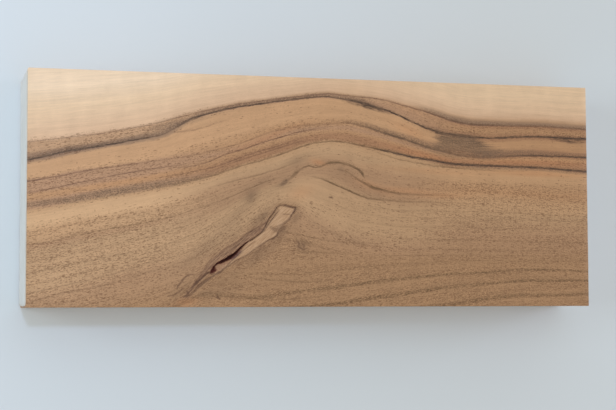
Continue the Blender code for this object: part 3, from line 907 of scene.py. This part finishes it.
class Nodes:
    """Adds the nodes of a material or a node group."""

    def __init__(self, tree):
        self.tree = tree

    def add(self, kind, **settings):
        node = self.tree.nodes.new(kind)
        for name, value in settings.items():
            setattr(node, name, value)
        return node

    def feed(self, socket, value):
        if isinstance(value, Amount):
            self.tree.links.new(value.socket, socket)
        elif hasattr(socket.default_value, "__len__") and not hasattr(value, "__len__"):
            socket.default_value = (value,) * len(socket.default_value)
        elif hasattr(value, "__len__") and len(value) == 3 and len(socket.default_value) == 4:
            socket.default_value = (*value, 1)
        else:
            socket.default_value = value

    def outputs(self, node):
        """What a node puts out, by name."""
        return {socket.name: Amount(self, socket) for socket in node.outputs}

    def math(self, operation, *values, clamp=False):
        node = self.add("ShaderNodeMath", operation=operation, use_clamp=clamp)
        for socket, value in zip(node.inputs, values):
            self.feed(socket, value)
        return Amount(self, node.outputs[0])

    def step(self, value, start, end, low=0.0, high=1.0):
        """Goes smoothly from low at start to high at end."""
        node = self.add("ShaderNodeMapRange", interpolation_type="SMOOTHSTEP")
        for name, given in (("Value", value), ("From Min", start), ("From Max", end), ("To Min", low),
                            ("To Max", high)):
            self.feed(node.inputs[name], given)
        return Amount(self, node.outputs["Result"])

    def mix(self, share, first, second, blend="MIX"):
        node = self.add("ShaderNodeMix", data_type="RGBA", blend_type=blend)
        for socket, value in ((0, share), (6, first), (7, second)):
            self.feed(node.inputs[socket], value)
        return Amount(self, node.outputs[2])

    def attribute(self, name):
        return Amount(self, self.add("ShaderNodeAttribute", attribute_name=name).outputs["Vector"])

    def parts(self, vector):
        node = self.add("ShaderNodeSeparateXYZ")
        self.feed(node.inputs[0], vector)
        return [Amount(self, socket) for socket in node.outputs]

    def vector(self, operation, first, second):
        node = self.add("ShaderNodeVectorMath", operation=operation)
        self.feed(node.inputs[0], first)
        node.inputs[1].default_value = second
        return Amount(self, node.outputs[0])

    def place(self, scale=1.0):
        """The place in the piece's own space, scaled."""
        node = self.add("ShaderNodeTexCoord")
        return self.vector("MULTIPLY", Amount(self, node.outputs["Object"]), (scale,) * 3)

    def turned(self, vector, degrees, shift=(0, 0, 0)):
        node = self.add("ShaderNodeMapping")
        node.inputs["Rotation"].default_value = (0, 0, math.radians(degrees))
        node.inputs["Location"].default_value = shift
        self.feed(node.inputs["Vector"], vector)
        return Amount(self, node.outputs["Vector"])

    def noise(self, vector, size, detail=2.0, roughness=0.5):
        """Noise from 0 to 1 with features of a size, in the vector's own units."""
        node = self.add("ShaderNodeTexNoise")
        for name, value in (("Vector", self.vector("MULTIPLY", vector, tuple(1 / s for s in size))),
                            ("Scale", 1), ("Detail", detail), ("Roughness", roughness)):
            self.feed(node.inputs[name], value)
        return Amount(self, node.outputs["Fac"])

    def cells(self, vector):
        """The distance to the middle of each cell, and two chances that each cell has of its own."""
        node = self.add("ShaderNodeTexVoronoi", voronoi_dimensions="3D", feature="F1")
        self.feed(node.inputs["Vector"], vector)
        self.feed(node.inputs["Scale"], 1)
        chance, strength, _ = self.parts(Amount(self, node.outputs["Color"]))
        return Amount(self, node.outputs["Distance"]), chance, strength

    def ramp(self, value, stops):
        """A colour ramp through stops, given as places from 0 to 1 and colours."""
        node = self.add("ShaderNodeValToRGB")
        elements = node.color_ramp.elements
        while len(elements) < len(stops):
            elements.new(1)
        for element, (place, colour) in zip(elements, stops):
            element.position = place
            element.color = (*colour, 1) if hasattr(colour, "__len__") else (colour, colour, colour, 1)
        self.feed(node.inputs[0], value)
        return Amount(self, node.outputs["Color"])

    def group(self, tree, **inputs):
        node = self.add("ShaderNodeGroup", node_tree=tree)
        for name, value in inputs.items():
            self.feed(node.inputs[name.capitalize()], value)
        return self.outputs(node)

    def bump(self, height, strength):
        node = self.add("ShaderNodeBump")
        for name, value in (("Strength", strength), ("Distance", BUMP_DISTANCE), ("Height", height)):
            self.feed(node.inputs[name], value)
        return Amount(self, node.outputs["Normal"])


def new_group(name, inputs, outputs):
    """A node group with named inputs and outputs, given as names and socket kinds."""
    tree = bpy.data.node_groups.new(name, "ShaderNodeTree")
    for way, labels in (("INPUT", inputs), ("OUTPUT", outputs)):
        for label, kind in labels.items():
            tree.interface.new_socket(label, in_out=way, socket_type="NodeSocket" + kind)
    nodes = Nodes(tree)
    given = nodes.outputs(nodes.add("NodeGroupInput"))
    return nodes, given, nodes.add("NodeGroupOutput").inputs


def new_material(name):
    made = bpy.data.materials.new(name)
    made.use_nodes = True
    return made, Nodes(made.node_tree), made.node_tree.nodes["Principled BSDF"].inputs


# How far the soft side of a dark line reaches, how strong it is, and how much shorter it is below.
HALO_BELOW = 2.6
HALO_REACH = 0.5
HALO_STRENGTH = 0.5
BUMP_DISTANCE = 0.1 * MM


def dark_line_group():
    """The mask of a dark line, from its offset, half width and darkness. The line has a ragged core, and a
    halo of flecks that reaches further on its upper side."""
    nodes, given, result = new_group(
        "Dark line", {"Line": "Vector", "Wander": "Float", "Broken": "Float", "Flecks": "Float"},
        {"Mask": "Float"})
    offset, half_width, darkness = nodes.parts(given["Line"])
    offset = offset + given["Wander"]
    core = nodes.step(abs(offset), half_width * 0.45, half_width * 1.5, 1, 0) * given["Broken"]
    side = offset.at_least(offset * -HALO_BELOW)
    reach = half_width * 2.2 + HALO_REACH
    halo = nodes.step(side, half_width * 0.8, reach, HALO_STRENGTH, 0) * given["Flecks"]
    nodes.feed(result["Mask"], (core.at_least(halo) * darkness).clamped())
    return nodes.tree


# Sizes of pores and crumbs, and the ways the grain runs that they are drawn for, in degrees.
LONG_PORE = (2.6, 0.46, 0.8)
SHORT_PORE = (1.3, 0.4, 0.6)
CRUMB = (0.7, 0.4, 0.6)
GRAIN_WAYS = (-24, -5, 12, 32)


def pore_group():
    """Open pores as short dashes along X, as many as the amount says, and the crumbly look between them."""
    nodes, given, result = new_group(
        "Pores", {"Place": "Vector", "Amount": "Float"}, {"Pores": "Float", "Crumb": "Float"})

    def dashes(size, shift):
        place = nodes.vector("MULTIPLY", given["Place"], tuple(1 / s for s in size))
        distance, chance, strength = nodes.cells(nodes.vector("ADD", place, (shift,) * 3))
        there = nodes.step(chance, given["Amount"], given["Amount"] - 0.12)
        return nodes.step(distance, 0.22, 0.5, 1, 0) * there * (strength * 0.6 + 0.4)

    nodes.feed(result["Pores"], dashes(LONG_PORE, 0).at_least(dashes(SHORT_PORE, 7.3)))
    nodes.feed(result["Crumb"], nodes.noise(given["Place"], CRUMB, 2, 0.75) - 0.5)
    return nodes.tree


# Noise along the grain: how long its features are along the block, across the rings and in height, and its
# detail and roughness.
GRAIN_NOISES = {
    "long_wave": ((26, 9, 9), 1, 0.5),
    "short_wave": ((5, 2.2, 3), 3, 0.6),
    "ragged": ((1.7, 0.5, 0.5), 2, 0.6),
    "porous_rows": ((60, 3.0, 8), 2, 0.6),
    "broad": ((70, 2.6, 6), 2, 0.5),
    "streak": ((28, 0.9, 1.6), 3, 0.6),
    "fibre": ((7, 0.34, 0.5), 2, 0.6),
    "ripple": ((6, 15, 13), 2, 0.5),
    "feather": ((14, 0.6, 2), 3, 0.6),
    "vessels": ((1.5, 0.45, 0.7), 3, 0.7),
    "line_wear": ((6, 0.7, 1), 3, 0.7),
    "smear_wear": ((3.5, 0.45, 0.6), 2, 0.7),
}
# How strongly each kind of soft patch colours the wood.
PATCH_STRENGTHS = {"warm": 0.55, "pale": 0.5, "grey": 0.75}
# How much each kind of noise lightens and darkens the wood, and how much painted light lightens the left end.
TONES = {"broad": 0.22, "streak": 0.26, "fibre": 0.24, "ripple": 0.17}
LEFT_PAINTED_LIGHT = 0.05

# The figure from the sapwood inwards, as ring values and colours, for each part of the length.
RING_SPAN = 180
LEFT_FIGURE = (
    (0, "cream"), (16, "cream"), (25, "straw"), (33, "fawn"), (39.2, "tawny"), (40.6, "porous"),
    (44.5, "porous"), (46.5, "smoke"), (49, "smoke"), (50.2, "apricot"), (57.6, "apricot"),
    (59, "rosy"), (64.6, "rosy"), (66, "orange"), (67.8, "orange"), (69, "rosy"), (71.4, "rosy"),
    (73, "tan"), (76, "honey"), (80.5, "honey"), (83, "tan"), (86.5, "tan"), (89, "dusk"),
    (92, "heart"), (106, "heart"), (116, "dusk"), (130, "umber"), (180, "umber"))
MIDDLE_FIGURE = (
    (0, "cream"), (12, "cream"), (21, "straw"), (29, "fawn"), (37.5, "tawny"), (40, "porous"),
    (45, "rosy"), (47.5, "rosy"), (49, "apricot"), (56, "apricot"), (59, "orange"), (62, "rosy"),
    (64.5, "orange"), (67, "russet"), (70.5, "russet"), (72.6, "tan"), (77, "heart"), (82, "dusk"),
    (88, "dusk"), (94, "dusk"), (100, "heart"), (114, "heart"), (122, "dusk"), (132, "umber"),
    (180, "umber"))
RIGHT_FIGURE = (
    (0, "cream"), (10, "straw"), (22, "straw"), (31, "fawn"), (34.6, "tawny"), (37, "porous"),
    (39.6, "smoke"), (40.8, "russet"), (44.6, "orange"), (46.4, "russet"), (49, "russet"),
    (50.6, "orange"), (54.6, "orange"), (57, "russet"), (60, "russet"), (62, "orange"),
    (63.6, "orange"), (66, "russet"), (72, "russet"), (74, "tan"), (77, "tan"), (88, "orange"),
    (94, "tan"), (104, "heart"), (114, "dusk"), (134, "umber"), (180, "umber"))


# Which way the pocket lies, in degrees.
POCKET_WAY = -41


def grain_pores(nodes, place, slope, density):
    """Pores and crumbs, drawn for a few ways that the grain runs and blended by its slope."""
    tree = pore_group()
    pore = 0
    crumb = 0
    for i, way in enumerate(GRAIN_WAYS):
        turned = nodes.turned(place, -way, (31 * i, 17 * i, 11 * i))
        drawn = nodes.group(tree, place=turned, amount=density)
        near = 1
        if i > 0:
            near = nodes.step(slope, GRAIN_WAYS[i - 1], way)
        if i < len(GRAIN_WAYS) - 1:
            near = near * nodes.step(slope, way, GRAIN_WAYS[i + 1], 1, 0)
        pore = drawn["Pores"] * near + pore
        crumb = drawn["Crumb"] * near + crumb
    return pore, crumb


def vessel_rows(nodes, noise, along, trail):
    """How strong the rows of vessels are that follow the rings."""
    turn = nodes.step(along, *ROWS_TURN)
    vessels = 0
    for value, half_width, at_left, at_right in VESSEL_ROWS:
        row = nodes.step(abs(trail - value), half_width * 0.3, half_width * 1.7, 1, 0)
        vessels = (row * (turn * (at_right - at_left) + at_left)).at_least(vessels)
    dashes = nodes.step(noise, 0.42, 0.58, 0.05, 1)
    return vessels * dashes * 0.9


def walnut_material(colours):
    """Planed walnut: the figure by its rings, pores and fibres along the grain, dark lines, and bark."""
    made, nodes, shader = new_material("Planed walnut")
    grain = nodes.attribute("grain")
    along, ring, _ = nodes.parts(grain)
    left, right, smooth = nodes.parts(nodes.attribute("zone"))
    grey, warm, pale = nodes.parts(nodes.attribute("patches"))
    slope, wedge, violet = nodes.parts(nodes.attribute("lie"))
    crack, crease, hole = nodes.parts(nodes.attribute("pocket"))
    tongue, band, bed = nodes.parts(nodes.attribute("pocket_beds"))

    noise = {name: nodes.noise(grain, *shape) for name, shape in GRAIN_NOISES.items()}
    fibre = noise["fibre"]

    # The rings wander a little, so no band has an even edge.
    long_wave, short_wave, ragged = (noise[name] - 0.5 for name in ("long_wave", "short_wave", "ragged"))
    share = (ring + long_wave * 2.0 + short_wave * 1.4 + ragged * 1.2) / RING_SPAN

    def figure(stops):
        return nodes.ramp(share, [(v / RING_SPAN, getattr(colours, name)) for v, name in stops])

    wood = nodes.mix(left, figure(MIDDLE_FIGURE), figure(LEFT_FIGURE))
    wood = nodes.mix(right, wood, figure(RIGHT_FIGURE))

    # How porous the wood is: in rows where the rings are porous, and hardly in the smooth wood of the knot.
    density = nodes.ramp(share, [(v / RING_SPAN, d) for v, d in PORE_DENSITY])
    knot_density = nodes.ramp(share, [(v / RING_SPAN, d) for v, d in PORE_DENSITY_KNOT])
    density = nodes.mix((left + right).clamped(), knot_density, density)
    rows = nodes.step(noise["porous_rows"], 0.36, 0.64, 0.5, 1.2)
    density = density * rows * (1 - smooth * 0.8)
    place = nodes.place(1 / MM)
    pore, crumb = grain_pores(nodes, place, slope, density)

    # Streaks and fibres along the grain, painted light on the left end, and a crumbly look where it is
    # porous.
    # Painted light: the left end is made lighter, as if more light fell on it.
    tone_and_light = left * LEFT_PAINTED_LIGHT + 1
    for name, strength in TONES.items():
        tone_and_light = tone_and_light + (noise[name] - 0.5) * strength
    roughly = (density * 1.25 + 0.14) * (1.5 - left * 0.5)
    wood = nodes.mix(1, wood, tone_and_light + crumb * roughly, "MULTIPLY")

    # Soft patches, one of them a painted sheen, and the dark wedge with its streaky edge.
    for name, mask in (("warm", warm), ("pale", pale), ("grey", grey)):
        wood = nodes.mix(mask * PATCH_STRENGTHS[name], wood, getattr(colours, name))
    feather = noise["feather"] - 0.5
    inside = nodes.step(wedge + feather * 13.0, -3, 2.6) * nodes.step(crumb, 0.16, -0.1, 0.5, 1)
    inside = (inside * nodes.step(ring, 49, 57, 1.15, 0.85)).clamped()
    shade = nodes.mix(nodes.step(fibre, 0.34, 0.62), colours.wedge, colours.wedge_streak)
    wood = nodes.mix(inside, wood, shade)

    # Pores, and the rows of vessels.
    wood = nodes.mix(pore * 0.85, wood, colours.pore)
    vessels = vessel_rows(nodes, noise["vessels"], along, ring + short_wave * 1.3 + ragged * 0.8)
    wood = nodes.mix(vessels * (1 - smooth), wood, colours.olive)

    # Mottled bands and dark lines.
    line = dark_line_group()
    sway = long_wave * 0.5 + short_wave * 0.8 + ragged
    even = nodes.step(noise["line_wear"], 0.34, 0.6, 0.42, 1.05)
    worn = nodes.step(noise["smear_wear"], 0.36, 0.62, 0.2, 1)
    flecks = nodes.step(crumb, 0.06, -0.08, 0, 1)
    smudged = nodes.step(crumb, 0.12, -0.1, 0.3, 1) * nodes.step(fibre, 0.3, 0.58, 0.55, 1.15)
    drawn = [(name, smudged, 0, colour) for name, (colour, _, _, _) in SMUDGES.items()]
    for name in DARK_LINES:
        colour = "olive" if name in OLIVE_LINES else "rust" if name in RUST_LINES else "ink"
        drawn.append((name, worn if name in SOFT_LINES else even, flecks, colour))
    for name, broken, fleck, colour in drawn:
        mask = nodes.group(line, line=nodes.attribute(name), wander=sway, broken=broken, flecks=fleck)["Mask"]
        wood = nodes.mix(mask, wood, getattr(colours, colour))

    # The bark pocket: brown streaks round it, a streaky band, the smooth tongue, bark, creases with painted
    # shade along the tongue's lower edge, and the crack.
    turned = nodes.turned(place, POCKET_WAY)
    streaks = nodes.noise(turned, (6, 0.4, 0.5), 3, 0.65)
    crumbs = nodes.noise(turned, (1.1, 0.6, 0.7), 4, 0.7)
    beside = nodes.step(tongue.at_least(band), -5, -0.2) * nodes.step(streaks, 0.44, 0.6)
    wood = nodes.mix(beside * 0.6, wood, colours.feather)
    streaked = nodes.mix(nodes.step(streaks, 0.42, 0.56), colours.band, colours.band_streak)
    band = nodes.step(band, -2.2, 1.2) * nodes.step(crumbs, 0.35, 0.6, 0.5, 1)
    wood = nodes.mix(band * 0.85, wood, streaked)
    smooth_wood = nodes.mix(nodes.step(streaks, 0.3, 0.7), colours.tongue, colours.tongue_streak)
    wood = nodes.mix(nodes.step(tongue, -0.5, 0.5) * 0.8, wood, smooth_wood)
    worn_bed = nodes.step(bed, -0.3, 0.4) * nodes.step(crumbs, 0.42, 0.56, 0.15, 0.9)
    wood = nodes.mix(worn_bed, wood, colours.bed)
    wood = nodes.mix(violet * nodes.step(crumbs, 0.3, 0.5, 0.7, 1), wood, colours.violet)
    # Creases: dark seams, and painted shade along the tongue's lower edge.
    wood = nodes.mix(crease * nodes.step(crumbs, 0.3, 0.52, 0.45, 1), wood, colours.crease)
    bark = nodes.mix(nodes.step(crumbs, 0.4, 0.7), colours.bark, colours.bark_crumbs)
    # Painted shade: the bark turns darker where the crack is deepest.
    bark = nodes.mix(nodes.step(hole, 1.4, 2.6), bark, colours.bark_deep)
    nodes.feed(shader["Base Color"], nodes.mix(crack, wood, bark))

    # Planed wood is satin. Pores and bark are dull and lie lower.
    rough = pore * 0.2 + nodes.step(fibre, 0.3, 0.7, 0.5, 0.6) + crack * 0.3
    nodes.feed(shader["Roughness"], rough.clamped())
    shader["Specular IOR Level"].default_value = 0.3
    relief = pore * -0.7 + fibre * 0.25 + crack * crumbs * 3
    nodes.feed(shader["Normal"], nodes.bump(relief, 0.35))
    return made


def wax_material(colours):
    """White end-sealing wax, brushed on across the width, with sawdust stuck in it."""
    made, nodes, shader = new_material("White end wax")
    place = nodes.place(1 / MM)
    thin, runs, _ = nodes.parts(nodes.attribute("wax"))
    strokes = nodes.noise(place, (3, 22, 1.1), 3, 0.6)
    cloud = nodes.noise(place, (9, 14, 9), 3, 0.5)
    white = nodes.mix(nodes.step(strokes, 0.3, 0.7), colours.white, colours.stroke)
    showing = thin * 0.35 + nodes.step(cloud, 0.45, 0.75) * 0.22
    white = nodes.mix(showing.clamped(), white, colours.thin)
    white = nodes.mix(runs * 0.5, white, colours.run)
    distance, chance, _ = nodes.cells(nodes.vector("MULTIPLY", place, (0.45, 0.3, 0.45)))
    speck = nodes.step(distance, 0.06, 0.16, 1, 0) * nodes.step(chance, 0.22, 0.16)
    nodes.feed(shader["Base Color"], nodes.mix(speck * 0.8, white, colours.speck))
    nodes.feed(shader["Roughness"], nodes.step(strokes, 0.3, 0.7, 0.36, 0.5))
    shader["Subsurface Weight"].default_value = 0.15
    shader["Subsurface Radius"].default_value = (0.6, 0.55, 0.5)
    shader["Subsurface Scale"].default_value = 1 * MM
    nodes.feed(shader["Normal"], nodes.bump(strokes + speck * 0.8, 0.3))
    return made


def floor_material(colour):
    made, nodes, shader = new_material("Pale floor")
    cloud = nodes.noise(nodes.place(), (0.25, 0.25, 0.25), 2, 0.5)
    shade = nodes.mix(nodes.step(cloud, 0.3, 0.7), tuple(0.98 * c for c in colour), colour)
    nodes.feed(shader["Base Color"], shade)
    shader["Roughness"].default_value = 0.7
    return made


# The lights: kind, name, place, what it aims at and size.
LIGHTS = (
    ("SPOT", "window", (-0.30, 0.33, 1.6), (-0.40, 0.16, 0), 0.12),
    ("AREA", "left", (-1.3, 0.1, 0.9), (-0.1, 0, 0), 0.8),
    ("AREA", "right", (1.3, 0.1, 0.5), (0.1, 0, 0), 0.8))
SPOT_ANGLE = math.radians(40)
FLOOR_RADIUS = 3
CAMERA_PLACE = (-0.20319, -0.05917, 0.78589)
CAMERA_TURN = (3.9271, -14.7328, -0.1935)
SENSOR_WIDTH = 36
NEAREST_SEEN = 0.01


def add_light(kind, name, place, aim, watts, size, colour):
    deselect_all()
    bpy.ops.object.light_add(type=kind, location=place)
    light = bpy.context.active_object
    light.name = name
    light.data.energy = watts
    light.data.color = colour
    if kind == "AREA":
        light.data.shape = "DISK"
        light.data.size = size
    else:
        light.data.shadow_soft_size = size / 2
        light.data.spot_size = SPOT_ANGLE
        light.data.spot_blend = 1
    light.rotation_euler = (Vector(aim) - Vector(place)).to_track_quat("-Z", "Y").to_euler()


def add_floor(colour):
    deselect_all()
    bpy.ops.mesh.primitive_circle_add(vertices=96, radius=FLOOR_RADIUS, fill_type="NGON", location=(0, 0, 0))
    floor = bpy.context.active_object
    floor.name = "floor"
    floor.data.materials.append(floor_material(colour))


def add_room_light(colour, strength):
    world = bpy.data.worlds.new("Room light")
    world.use_nodes = True
    sky = world.node_tree.nodes["Background"]
    sky.inputs["Color"].default_value = (*colour, 1)
    sky.inputs["Strength"].default_value = strength
    bpy.context.scene.world = world


def add_camera(lens):
    bpy.ops.object.camera_add(location=CAMERA_PLACE)
    camera = bpy.context.active_object
    camera.name = "Camera"
    camera.rotation_euler = [math.radians(turn) for turn in CAMERA_TURN]
    camera.data.lens = lens
    camera.data.sensor_width = SENSOR_WIDTH
    camera.data.clip_start = NEAREST_SEEN
    bpy.context.scene.camera = camera
    bpy.context.scene.view_settings.view_transform = "Standard"


class WALNUT_OT_block(bpy.types.Operator):
    """Make the figured block with its bark pocket"""

    bl_idname = "walnut.block"
    bl_label = "Make the block"

    def execute(self, context):
        block = make_block(context.scene.walnut_sizes)
        block.data.materials.append(walnut_material(context.scene.walnut_wood))
        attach(block, "root")
        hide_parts("walnut_block")
        return {"FINISHED"}


class WALNUT_OT_wax(bpy.types.Operator):
    """Seal both ends with wax"""

    bl_idname = "walnut.wax"
    bl_label = "Seal the ends"

    def execute(self, context):
        wax = wax_material(context.scene.walnut_wax)
        for name, side in (("left", -1), ("right", 1)):
            seal = make_wax("wax_seal_" + name, side, context.scene.walnut_sizes)
            seal.data.materials.append(wax)
            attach(seal, "root")
            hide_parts("end_wax_" + name)
        return {"FINISHED"}


class WALNUT_OT_stage(bpy.types.Operator):
    """Lay the floor and set up the light and the camera"""

    bl_idname = "walnut.stage"
    bl_label = "Set the stage"

    def execute(self, context):
        stage = context.scene.walnut_stage
        shades = context.scene.walnut_stage_colours
        add_floor(tuple(shades.floor))
        for kind, name, place, aim, size in LIGHTS:
            label = name.capitalize() + " light"
            add_light(kind, label, place, aim, getattr(stage, name), size, getattr(shades, name))
        add_room_light(shades.room, stage.room)
        add_camera(stage.lens)
        return {"FINISHED"}


SETTINGS = {
    "walnut_sizes": BlankSizes, "walnut_wood": WoodColours, "walnut_wax": WaxColours,
    "walnut_stage": StageSettings, "walnut_stage_colours": StageColours,
}


class WALNUT_PT_blank(bpy.types.Panel):
    """The walnut blank's steps and settings"""

    bl_label = "Walnut blank"
    bl_space_type = "VIEW_3D"
    bl_region_type = "UI"
    bl_category = "Walnut blank"

    def draw(self, context):
        for step in ("walnut.block", "walnut.wax", "walnut.stage"):
            self.layout.operator(step)
        for key, kind in SETTINGS.items():
            column = self.layout.column(align=True)
            for name in kind.__annotations__:
                column.prop(getattr(context.scene, key), name)


CLASSES = (*SETTINGS.values(), WALNUT_OT_block, WALNUT_OT_wax, WALNUT_OT_stage, WALNUT_PT_blank)


def register():
    for cls in CLASSES:
        bpy.utils.register_class(cls)
    for key, kind in SETTINGS.items():
        setattr(bpy.types.Scene, key, PointerProperty(type=kind))


def unregister():
    for key in SETTINGS:
        delattr(bpy.types.Scene, key)
    for cls in reversed(CLASSES):
        bpy.utils.unregister_class(cls)


def main():
    register()
    bpy.ops.walnut.block()
    bpy.ops.walnut.wax()
    bpy.ops.walnut.stage()


if __name__ == "__main__":
    main()
